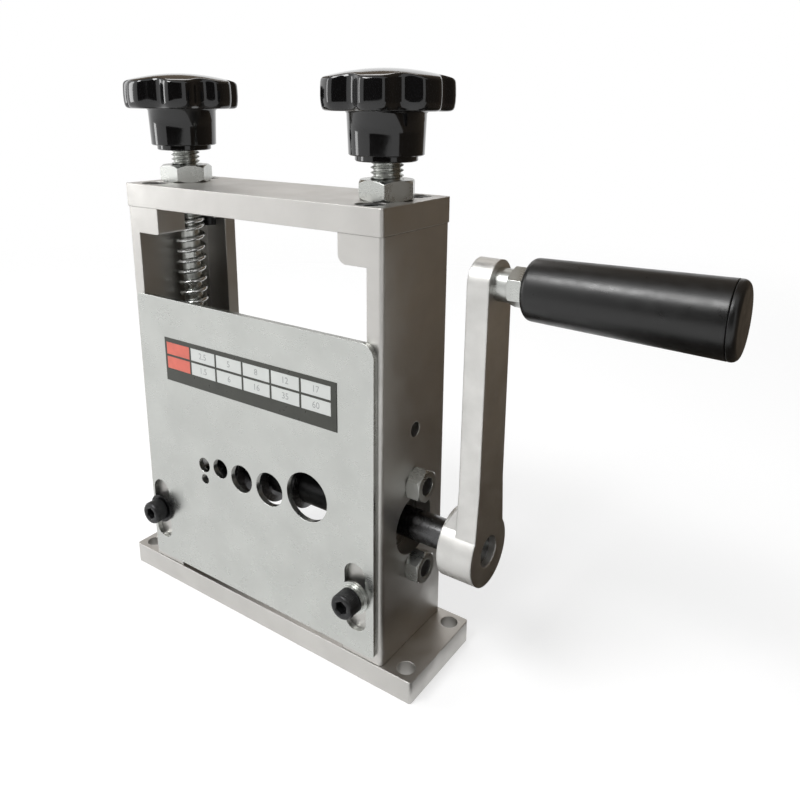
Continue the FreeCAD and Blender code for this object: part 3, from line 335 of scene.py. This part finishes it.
def star_outline(turn):
    """Radius for each of KNOB_STEPS angles, with the corners between lobe and scallop softened."""
    def cut(angle):
        pitch = 2 * math.pi / LOBES
        off = (angle - turn + pitch / 2) % pitch - pitch / 2
        reach = SCALLOP_REACH * math.sin(off)
        if abs(reach) >= SCALLOP_RADIUS:
            return STAR_RADIUS
        return min(STAR_RADIUS, SCALLOP_REACH * math.cos(off) - math.sqrt(SCALLOP_RADIUS ** 2 - reach ** 2))
    raw = [cut(2 * math.pi * k / KNOB_STEPS) for k in range(KNOB_STEPS)]
    weights = {d: 1.0 - abs(d) / (SOFTEN_STEPS + 1) for d in range(-SOFTEN_STEPS, SOFTEN_STEPS + 1)}
    total = sum(weights.values())
    return [sum(w * raw[(k + d) % KNOB_STEPS] for d, w in weights.items()) / total for k in range(KNOB_STEPS)]


def star_knob(turn):
    outline = star_outline(turn)

    def star(inset, share=1.0):
        def radius(angle):
            return share * (outline[round(angle * KNOB_STEPS / (2 * math.pi)) % KNOB_STEPS] - inset)
        return radius

    rim_top = NECK_TOP + RIM_HEIGHT

    def dome(radius_at):
        return lambda angle: rim_top + DOME_HEIGHT * (1.0 - (radius_at(angle) / STAR_RADIUS) ** 2)

    levels = [(0.0, 0.0), (0.0, 9.1), (0.3, 9.4), (FOOT_STEP, 9.4), (FOOT_STEP, 11.0)]
    levels += [(FOOT_STEP + 0.3, 11.3), (FOOT_STEP + 6.0, 11.52), (NECK_TOP - 0.6, 11.78), (NECK_TOP, 12.3)]
    levels += [(NECK_TOP, star(2.2)), (NECK_TOP + 0.1, star(1.3)), (NECK_TOP + 0.5, star(0.62))]
    levels += [(NECK_TOP + 1.2, star(0.3)), (NECK_TOP + 2.6, star(0.08)), (NECK_TOP + 4.4, star(0.0))]
    levels += [(NECK_TOP + 6.6, star(0.06)), (NECK_TOP + 8.0, star(0.16)), (NECK_TOP + 8.6, star(0.3))]
    for inset, drop in ((0.5, 0.26), (0.8, 0.06), (1.2, 0.0)):
        edge = star(inset)
        levels.append((lambda angle, edge=edge, drop=drop: dome(edge)(angle) - drop, edge))
    for share in (0.93, 0.84, 0.72, 0.58, 0.42, 0.26, 0.12):
        shrunk = star(1.2, share)
        levels.append((dome(shrunk), shrunk))
    levels.append((rim_top + DOME_HEIGHT, 0.0))
    return rings_of(levels, KNOB_STEPS)


KNOB_TURN = {"left": math.radians(34.5), "right": math.radians(11.0)}
for side in ("left", "right"):
    node = side + "_star_knob"
    spot = centre_of(node)
    piece("knob_" + side, [moved(star_knob(KNOB_TURN[side]), stand_up, spot.x, spot.y, low_of(node).z)],
          finishes["black_gloss_plastic"], side + "_knob", [node], 40.0)

# Adjusting rods with an M10 thread above a plain pin

THREAD_PITCH = 1.5
THREAD_CREST = 5.0
THREAD_DEPTH = 0.88
THREAD_STEPS = 44
RINGS_PER_PITCH = 10
PIN_RADIUS = 3.5
NECK_RADIUS = 2.7
ROD_END_RADIUS = 4.1
SHOULDER = 143.7


def thread_radius(phase):
    """From crest to root over one pitch."""
    phase %= 1.0
    fall = abs(phase - 0.5) * 2
    return THREAD_CREST - THREAD_DEPTH * min(1.0, max(0.0, (0.88 - fall) / 0.62))


def adjusting_rod(foot, top, clip_low, clip_high):
    def helix(height):
        return lambda angle: thread_radius(height / THREAD_PITCH - angle / (2 * math.pi))
    levels = [(foot, 0.0), (foot, PIN_RADIUS - 0.4), (foot + 0.4, PIN_RADIUS)]
    levels += [(clip_low, PIN_RADIUS), (clip_low, NECK_RADIUS)]
    levels += [(clip_high, NECK_RADIUS), (clip_high, PIN_RADIUS)]
    levels += [(SHOULDER, PIN_RADIUS), (SHOULDER, ROD_END_RADIUS)]
    count = round((top - SHOULDER) / THREAD_PITCH * RINGS_PER_PITCH)
    for k in range(1, count):
        height = SHOULDER + (top - SHOULDER) * k / count
        levels.append((height, helix(height)))
    levels += [(top, ROD_END_RADIUS), (top, 0.0)]
    return rings_of(levels, THREAD_STEPS)


for side in ("left", "right"):
    node = side + "_adjusting_rod"
    spot = centre_of(node)
    clip = side + "_rod_clip"
    part = adjusting_rod(low_of(node).z, high_of(node).z, low_of(clip).z, high_of(clip).z)
    piece("rod_" + side, [moved(part, stand_up, spot.x, spot.y, 0.0)], finishes["zinc_steel"],
          side + "_knob", [node], 50.0)

# Springs round the pins

WIRE_RADIUS = 0.8
SPRING_RADIUS = 4.6
SPRING_FOOT = 100.8
SPRING_TOP = 142.8
CLOSED_PITCH = 1.65
ACTIVE_TURNS = 9.75
STEPS_PER_TURN = 30
WIRE_SIDES = 14


def spring(start_angle):
    """A helix tube with a closed turn at each end."""
    turns = ACTIVE_TURNS + 2.0
    active_pitch = (SPRING_TOP - SPRING_FOOT - 2 * CLOSED_PITCH) / ACTIVE_TURNS
    points, faces = [], []
    count = round(turns * STEPS_PER_TURN)
    height = SPRING_FOOT
    for k in range(count + 1):
        turn = turns * k / count
        pitch = CLOSED_PITCH if min(turn, turns - turn) < 1.0 else active_pitch
        if k:
            height += pitch * turns / count
        angle = start_angle + 2 * math.pi * turn
        out = Vector((math.cos(angle), math.sin(angle), 0.0))
        slope = pitch / (2 * math.pi * SPRING_RADIUS)
        along = Vector((-math.sin(angle), math.cos(angle), slope)).normalized()
        side = along.cross(out).normalized()
        middle = out * SPRING_RADIUS + Vector((0.0, 0.0, height))
        for j in range(WIRE_SIDES):
            around = 2 * math.pi * j / WIRE_SIDES
            points.append(tuple(middle + (out * math.cos(around) + side * math.sin(around)) * WIRE_RADIUS))
    for k in range(count):
        for j in range(WIRE_SIDES):
            a, b = k * WIRE_SIDES + j, k * WIRE_SIDES + (j + 1) % WIRE_SIDES
            faces.append((a, b, b + WIRE_SIDES, a + WIRE_SIDES))
    faces.append(tuple(range(WIRE_SIDES)))
    faces.append(tuple(range(count * WIRE_SIDES, (count + 1) * WIRE_SIDES)))
    return points, faces


for side, start in (("left", math.radians(200)), ("right", math.radians(-20))):
    spot = centre_of(side + "_adjusting_rod")
    piece("spring_" + side, [moved(spring(start), stand_up, spot.x, spot.y, 0.0)], spring_wire,
          "carrier", [side + "_spring"], 60.0)

# Cap screws of the guide plate

HEAD_RADIUS = 4.25
HEAD_HEIGHT = 5.0
SOCKET_FLAT = 2.0
SOCKET_DEPTH = 2.6
SCREW_RADIUS = 2.5
SCREW_END_Y = -13.0
HEAD_STEPS = 144
KNURL_DEPTH = 0.13


def cap_screw(length):
    def knurl(radius):
        ridge = [0.0, KNURL_DEPTH, 0.0]
        return lambda angle: radius - ridge[round(angle * HEAD_STEPS / (2 * math.pi)) % 3]

    def hexagon(flat):
        sector = math.pi / 3
        return lambda angle: flat / math.cos((angle + sector / 2) % sector - sector / 2)

    levels = [(-length, 0.0), (-length, SCREW_RADIUS - 0.4), (0.4 - length, SCREW_RADIUS)]
    levels += [(0.0, SCREW_RADIUS), (0.0, HEAD_RADIUS - 0.25)]
    levels += [(0.2, knurl(HEAD_RADIUS)), (HEAD_HEIGHT - 0.75, knurl(HEAD_RADIUS))]
    levels += [(HEAD_HEIGHT - 0.45, HEAD_RADIUS - 0.2), (HEAD_HEIGHT - 0.12, HEAD_RADIUS - 0.45)]
    levels += [(HEAD_HEIGHT, HEAD_RADIUS - 0.8), (HEAD_HEIGHT, SOCKET_FLAT + 0.62)]
    levels += [(HEAD_HEIGHT - 0.3, hexagon(SOCKET_FLAT)), (HEAD_HEIGHT - SOCKET_DEPTH, hexagon(SOCKET_FLAT))]
    levels += [(HEAD_HEIGHT - SOCKET_DEPTH - 0.5, 0.0)]
    return rings_of(levels, HEAD_STEPS)


HEAD_SEATS = {-47.0: -21.1, 47.0: -22.4}
GUIDE_SCREW_HEIGHT = centre_of("guide_plate_screws").z
screws = [moved(cap_screw(SCREW_END_Y - seat), point_front, x, seat, GUIDE_SCREW_HEIGHT)
          for x, seat in HEAD_SEATS.items()]
piece("guide_screws", screws, finishes["black_steel"], "frame", ["guide_plate_screws"], 28.0)

# Size label

BORDER_TOP = 1.6
BORDER_LEFT = 1.1
BORDER_RIGHT = 2.3
CELL_HEIGHT = 4.5
CELL_GAP = 0.8
COLUMNS = 6
FILM_LIFT = 0.03
INK_LIFT = 0.012
NUMBER_SIZE = 3.1
NUMBERS = (("2.5", "5", "8", "12", "17"), ("1.5", "6", "16", "35", "60"))


def slab(x_low, x_high, z_low, z_high, front, back):
    """A thin box facing the front, with a chamfer round its front face."""
    lip = min(0.1, (back - front) / 2)
    def ring(inset, y):
        return [(x_low + inset, y, z_low + inset), (x_high - inset, y, z_low + inset),
                (x_high - inset, y, z_high - inset), (x_low + inset, y, z_high - inset)]
    points = ring(0.0, back) + ring(0.0, front + lip) + ring(lip, front)
    faces = [(0, 3, 2, 1), (8, 9, 10, 11)]
    for first in (0, 4):
        for k in range(4):
            j = (k + 1) % 4
            faces.append((first + k, first + j, first + 4 + j, first + 4 + k))
    return points, faces


film_low, film_high = low_of("size_label"), high_of("size_label")
film = slab(film_low.x, film_high.x, film_low.z, film_high.z, film_low.y, film_high.y)
piece("label_film", [film], finishes["label_film"], "guide", ["size_label"], 20.0)
cell_pitch = (film_high.x - film_low.x - BORDER_LEFT - BORDER_RIGHT + CELL_GAP) / COLUMNS
cells = {"red": [], "white": []}
ink = []


def written(text, x, z, size, front):
    """A number as flat faces facing the front, centred on x and z."""
    curve = bpy.data.curves.new("number", "FONT")
    curve.body = text
    curve.size = size
    curve.align_x = "CENTER"
    curve.align_y = "CENTER"
    curve.resolution_u = 4
    holder = bpy.data.objects.new("number", curve)
    mesh = bpy.data.meshes.new_from_object(holder)
    points = [(x + v.co.x, front, z + v.co.y) for v in mesh.vertices]
    faces = [tuple(polygon.vertices) for polygon in mesh.polygons]
    bpy.data.objects.remove(holder)
    bpy.data.curves.remove(curve)
    bpy.data.meshes.remove(mesh)
    return points, faces


for line, numbers in enumerate(NUMBERS):
    z_high = film_high.z - BORDER_TOP - line * (CELL_HEIGHT + CELL_GAP)
    for column in range(COLUMNS):
        x_low = film_low.x + BORDER_LEFT + column * cell_pitch
        x_high = x_low + cell_pitch - CELL_GAP
        cell = slab(x_low, x_high, z_high - CELL_HEIGHT, z_high,
                    film_low.y - FILM_LIFT, film_low.y + FILM_LIFT)
        cells["white" if column else "red"].append(cell)
        if column:
            ink.append(written(numbers[column - 1], (x_low + x_high) / 2, z_high - CELL_HEIGHT / 2,
                               NUMBER_SIZE, film_low.y - FILM_LIFT - INK_LIFT))
piece("label_red_cells", cells["red"], label_red, "guide", sharp=20.0)
piece("label_white_cells", cells["white"], label_white, "guide", sharp=20.0)
piece("label_numbers", ink, label_ink, "guide", sharp=20.0)

# Grip and its end cap

GRIP_STEPS = 128
SEAM_GAP = 0.16
grip_low, grip_high = low_of("handle_grip"), high_of("handle_grip")
cap_high = high_of("grip_end_cap").x
grip_axis = centre_of("handle_grip").z
GRIP_SMALL = 8.7
GRIP_LARGE = (high_of("grip_end_cap").z - low_of("grip_end_cap").z) / 2
GRIP_ROUND = 1.9
CAP_ROUND = 1.7
GRIP_SECTIONS = 12


def rounded_end(end, radius, round_mm, sign, count=8):
    """Points (place, radius) of a quarter round, from the end face out to the side."""
    turns = [math.pi / 2 * k / count for k in range(count + 1)]
    return [(end + sign * round_mm * (1 - math.cos(a)), radius - round_mm * (1 - math.sin(a))) for a in turns]


def grip_profile():
    taper_start = grip_low.x + GRIP_ROUND
    taper_end = grip_high.x - SEAM_GAP - 0.15
    levels = [(grip_low.x + 2.5, 0.0), (grip_low.x + 2.5, 3.3), (grip_low.x, 3.6)]
    levels += rounded_end(grip_low.x, GRIP_SMALL, GRIP_ROUND, 1.0)
    for k in range(1, GRIP_SECTIONS + 1):
        share = k / GRIP_SECTIONS
        levels.append((taper_start + (taper_end - taper_start) * share,
                       GRIP_SMALL + (GRIP_LARGE - GRIP_SMALL) * share))
    levels += [(grip_high.x - SEAM_GAP, GRIP_LARGE - 0.12), (grip_high.x - SEAM_GAP, 0.0)]
    return levels


def cap_profile():
    end = rounded_end(cap_high, GRIP_LARGE, CAP_ROUND, -1.0)
    levels = [(grip_high.x, 0.0), (grip_high.x, GRIP_LARGE - 0.12), (grip_high.x + 0.15, GRIP_LARGE)]
    return levels + end[::-1] + [(cap_high, 0.0)]


for name, profile, node in (("grip_sleeve", grip_profile(), "handle_grip"),
                            ("grip_cap", cap_profile(), "grip_end_cap")):
    piece(name, [moved(rings_of(profile, GRIP_STEPS), point_right, 0.0, 0.0, grip_axis)],
          finishes["black_matte_plastic"], "grip", [node], 35.0)

# Floor, cards and light


def plain(name, colour, rough=0.9):
    material = bpy.data.materials.new(name)
    material.use_nodes = True
    shader = material.node_tree.nodes["Principled BSDF"]
    shader.inputs["Base Color"].default_value = (*colour, 1.0)
    shader.inputs["Roughness"].default_value = rough
    shader.inputs["Specular IOR Level"].default_value = 0.1
    return material


FLOOR_RADIUS = 0.9
FADE_START = 0.32
FADE_END = 0.85
FLOOR_GLOW = 0.62
FLOOR_SHADE = 0.5


def seen_ray(tree):
    """1 for what the camera sees, straight or through metal and glass."""
    path = tree.nodes.new("ShaderNodeLightPath")
    seen = path.outputs["Is Camera Ray"]
    for other in ("Is Glossy Ray", "Is Transmission Ray"):
        either = tree.nodes.new("ShaderNodeMath")
        either.operation = "MAXIMUM"
        tree.links.new(seen, either.inputs[0])
        tree.links.new(path.outputs[other], either.inputs[1])
        seen = either.outputs["Value"]
    return seen


def floor_material():
    """White floor that keeps the object's shadow and fades into the background."""
    material = plain("pale_floor", (0.85, 0.85, 0.85))
    tree = material.node_tree
    shadow = tree.nodes.new("ShaderNodeBsdfDiffuse")
    shadow.inputs["Color"].default_value = (FLOOR_SHADE, FLOOR_SHADE, FLOOR_SHADE, 1.0)
    glow = tree.nodes.new("ShaderNodeEmission")
    glow.inputs["Strength"].default_value = FLOOR_GLOW
    white = tree.nodes.new("ShaderNodeAddShader")
    tree.links.new(shadow.outputs["BSDF"], white.inputs[0])
    tree.links.new(glow.outputs["Emission"], white.inputs[1])
    floor = tree.nodes.new("ShaderNodeMixShader")
    tree.links.new(seen_ray(tree), floor.inputs["Fac"])
    tree.links.new(tree.nodes["Principled BSDF"].outputs["BSDF"], floor.inputs[1])
    tree.links.new(white.outputs["Shader"], floor.inputs[2])
    place = tree.nodes.new("ShaderNodeTexCoord")
    reach = tree.nodes.new("ShaderNodeVectorMath")
    reach.operation = "LENGTH"
    tree.links.new(place.outputs["Object"], reach.inputs[0])
    fade = tree.nodes.new("ShaderNodeMapRange")
    fade.interpolation_type = "SMOOTHSTEP"
    fade.inputs["From Min"].default_value = FADE_START
    fade.inputs["From Max"].default_value = FADE_END
    tree.links.new(reach.outputs["Value"], fade.inputs["Value"])
    clear = tree.nodes.new("ShaderNodeBsdfTransparent")
    mix = tree.nodes.new("ShaderNodeMixShader")
    tree.links.new(fade.outputs["Result"], mix.inputs["Fac"])
    tree.links.new(floor.outputs["Shader"], mix.inputs[1])
    tree.links.new(clear.outputs["BSDF"], mix.inputs[2])
    tree.links.new(mix.outputs["Shader"], tree.nodes["Material Output"].inputs["Surface"])
    return material


def staged(name, points, material):
    mesh = bpy.data.meshes.new(name)
    mesh.from_pydata(points, [], [tuple(range(len(points)))])
    mesh.materials.append(material)
    made = bpy.data.objects.new(name, mesh)
    bpy.context.scene.collection.objects.link(made)
    return made


staged("floor", [(FLOOR_RADIUS * math.cos(math.radians(a)), FLOOR_RADIUS * math.sin(math.radians(a)), -0.0002)
                 for a in range(0, 360, 5)], floor_material())


def reflected_card(name, corners, tint, near, far):
    """A dark card that only glossy surfaces show: near and far are (distance from the object, tone)."""
    material = bpy.data.materials.new(name)
    material.use_nodes = True
    tree = material.node_tree
    tree.nodes.clear()
    place = tree.nodes.new("ShaderNodeTexCoord")
    reach = tree.nodes.new("ShaderNodeVectorMath")
    reach.operation = "LENGTH"
    tree.links.new(place.outputs["Object"], reach.inputs[0])
    tone = tree.nodes.new("ShaderNodeMapRange")
    for key, value in (("From Min", near[0]), ("To Min", near[1]), ("From Max", far[0]), ("To Max", far[1])):
        tone.inputs[key].default_value = value
    tree.links.new(reach.outputs["Value"], tone.inputs["Value"])
    paper = tree.nodes.new("ShaderNodeEmission")
    paper.inputs["Color"].default_value = (*tint, 1.0)
    tree.links.new(tone.outputs["Result"], paper.inputs["Strength"])
    out = tree.nodes.new("ShaderNodeOutputMaterial")
    tree.links.new(paper.outputs["Emission"], out.inputs["Surface"])
    card = staged(name, corners, material)
    card.visible_camera = False
    card.visible_diffuse = False
    card.visible_shadow = False
    card.visible_transmission = False
    return card


BROWN = (1.0, 0.80, 0.60)
CARD_LIFT = 0.0012
reflected_card("floor_card", [(0.069, -0.10, CARD_LIFT), (0.95, -0.10, CARD_LIFT), (0.95, 0.95, CARD_LIFT),
                              (0.10, 0.95, CARD_LIFT)], BROWN, (0.07, 0.025), (0.5, 0.16))
reflected_card("right_card", [(0.95, -0.3, 0.0), (0.95, 0.95, 0.0), (0.95, 0.95, 0.8), (0.95, -0.3, 0.8)],
               BROWN, (0.9, 0.10), (1.4, 0.12))
reflected_card("back_card", [(0.16, 0.95, 0.0), (0.95, 0.95, 0.0), (0.95, 0.95, 0.8), (0.16, 0.95, 0.8)],
               BROWN, (0.9, 0.14), (1.4, 0.12))
reflected_card("high_card", [(-1.6, 1.0, 0.66), (1.4, 1.0, 0.66), (1.4, -0.1, 1.5), (-1.6, -0.1, 1.5)],
               BROWN, (0.9, 0.2), (1.8, 0.2))
reflected_card("front_card", [(-0.25, -1.05, 0.0), (1.3, -1.05, 0.0), (1.3, -1.05, 1.4), (-0.25, -1.05, 1.4)],
               BROWN, (0.9, 0.03), (1.8, 0.03))

WORLD_LIGHT = 0.35
world = bpy.data.worlds.new("studio")
bpy.context.scene.world = world
world.use_nodes = True
sky = world.node_tree
sky.nodes.clear()
seen = seen_ray(sky)
lit = sky.nodes.new("ShaderNodeBackground")
lit.inputs["Color"].default_value = (1.0, 1.0, 1.0, 1.0)
lit.inputs["Strength"].default_value = WORLD_LIGHT
white = sky.nodes.new("ShaderNodeBackground")
white.inputs["Color"].default_value = (1.0, 1.0, 1.0, 1.0)
white.inputs["Strength"].default_value = 1.0
choice = sky.nodes.new("ShaderNodeMixShader")
sky.links.new(seen, choice.inputs["Fac"])
sky.links.new(lit.outputs["Background"], choice.inputs[1])
sky.links.new(white.outputs["Background"], choice.inputs[2])
out = sky.nodes.new("ShaderNodeOutputWorld")
sky.links.new(choice.outputs["Shader"], out.inputs["Surface"])


def lamp(name, place, target, size, power):
    light = bpy.data.lights.new(name, "AREA")
    light.shape = "RECTANGLE"
    light.size, light.size_y = size
    light.energy = power
    holder = bpy.data.objects.new(name, light)
    bpy.context.scene.collection.objects.link(holder)
    holder.location = place
    holder.rotation_euler = (Vector(target) - Vector(place)).to_track_quat("-Z", "Y").to_euler()


lamp("key_lamp", (-0.2, -0.6, 0.95), (0.03, 0.0, 0.1), (0.5, 0.3), 7.0)
lamp("left_strip", (-0.85, -0.45, 0.35), (0.0, 0.0, 0.14), (0.2, 0.7), 2.0)
lamp("top_lamp", (-0.5, 0.6, 0.9), (0.0, 0.0, 0.1), (0.6, 0.4), 1.5)

# Camera

FOCAL_PX = 745.263
FRAME_PX = 800.0
SENSOR = 36.0
CENTRE_PX = (390.086, 305.0)
CAMERA_PLACE = Vector((173.361, -182.858, 183.808)) * MM
yaw, pitch_angle, roll = (math.radians(a) for a in (34.85, 15.043, 0.36))
level = math.cos(pitch_angle)
back = Vector((math.sin(yaw) * level, -math.cos(yaw) * level, math.sin(pitch_angle)))
right = Vector((0.0, 0.0, 1.0)).cross(back).normalized()
up = back.cross(right)
rolled_right = right * math.cos(roll) + up * math.sin(roll)
rolled_up = up * math.cos(roll) - right * math.sin(roll)
eye = bpy.data.cameras.new("camera")
eye.sensor_width = SENSOR
eye.lens = FOCAL_PX * SENSOR / FRAME_PX
eye.shift_x = (FRAME_PX / 2 - CENTRE_PX[0]) / FRAME_PX
eye.shift_y = (CENTRE_PX[1] - FRAME_PX / 2) / FRAME_PX
eye.clip_start, eye.clip_end = 0.01, 10.0
camera = bpy.data.objects.new("camera", eye)
bpy.context.scene.collection.objects.link(camera)
facing = Matrix((rolled_right, rolled_up, back)).transposed().to_4x4()
camera.matrix_world = Matrix.Translation(CAMERA_PLACE) @ facing
bpy.context.scene.camera = camera
bpy.context.scene.view_settings.view_transform = "Standard"
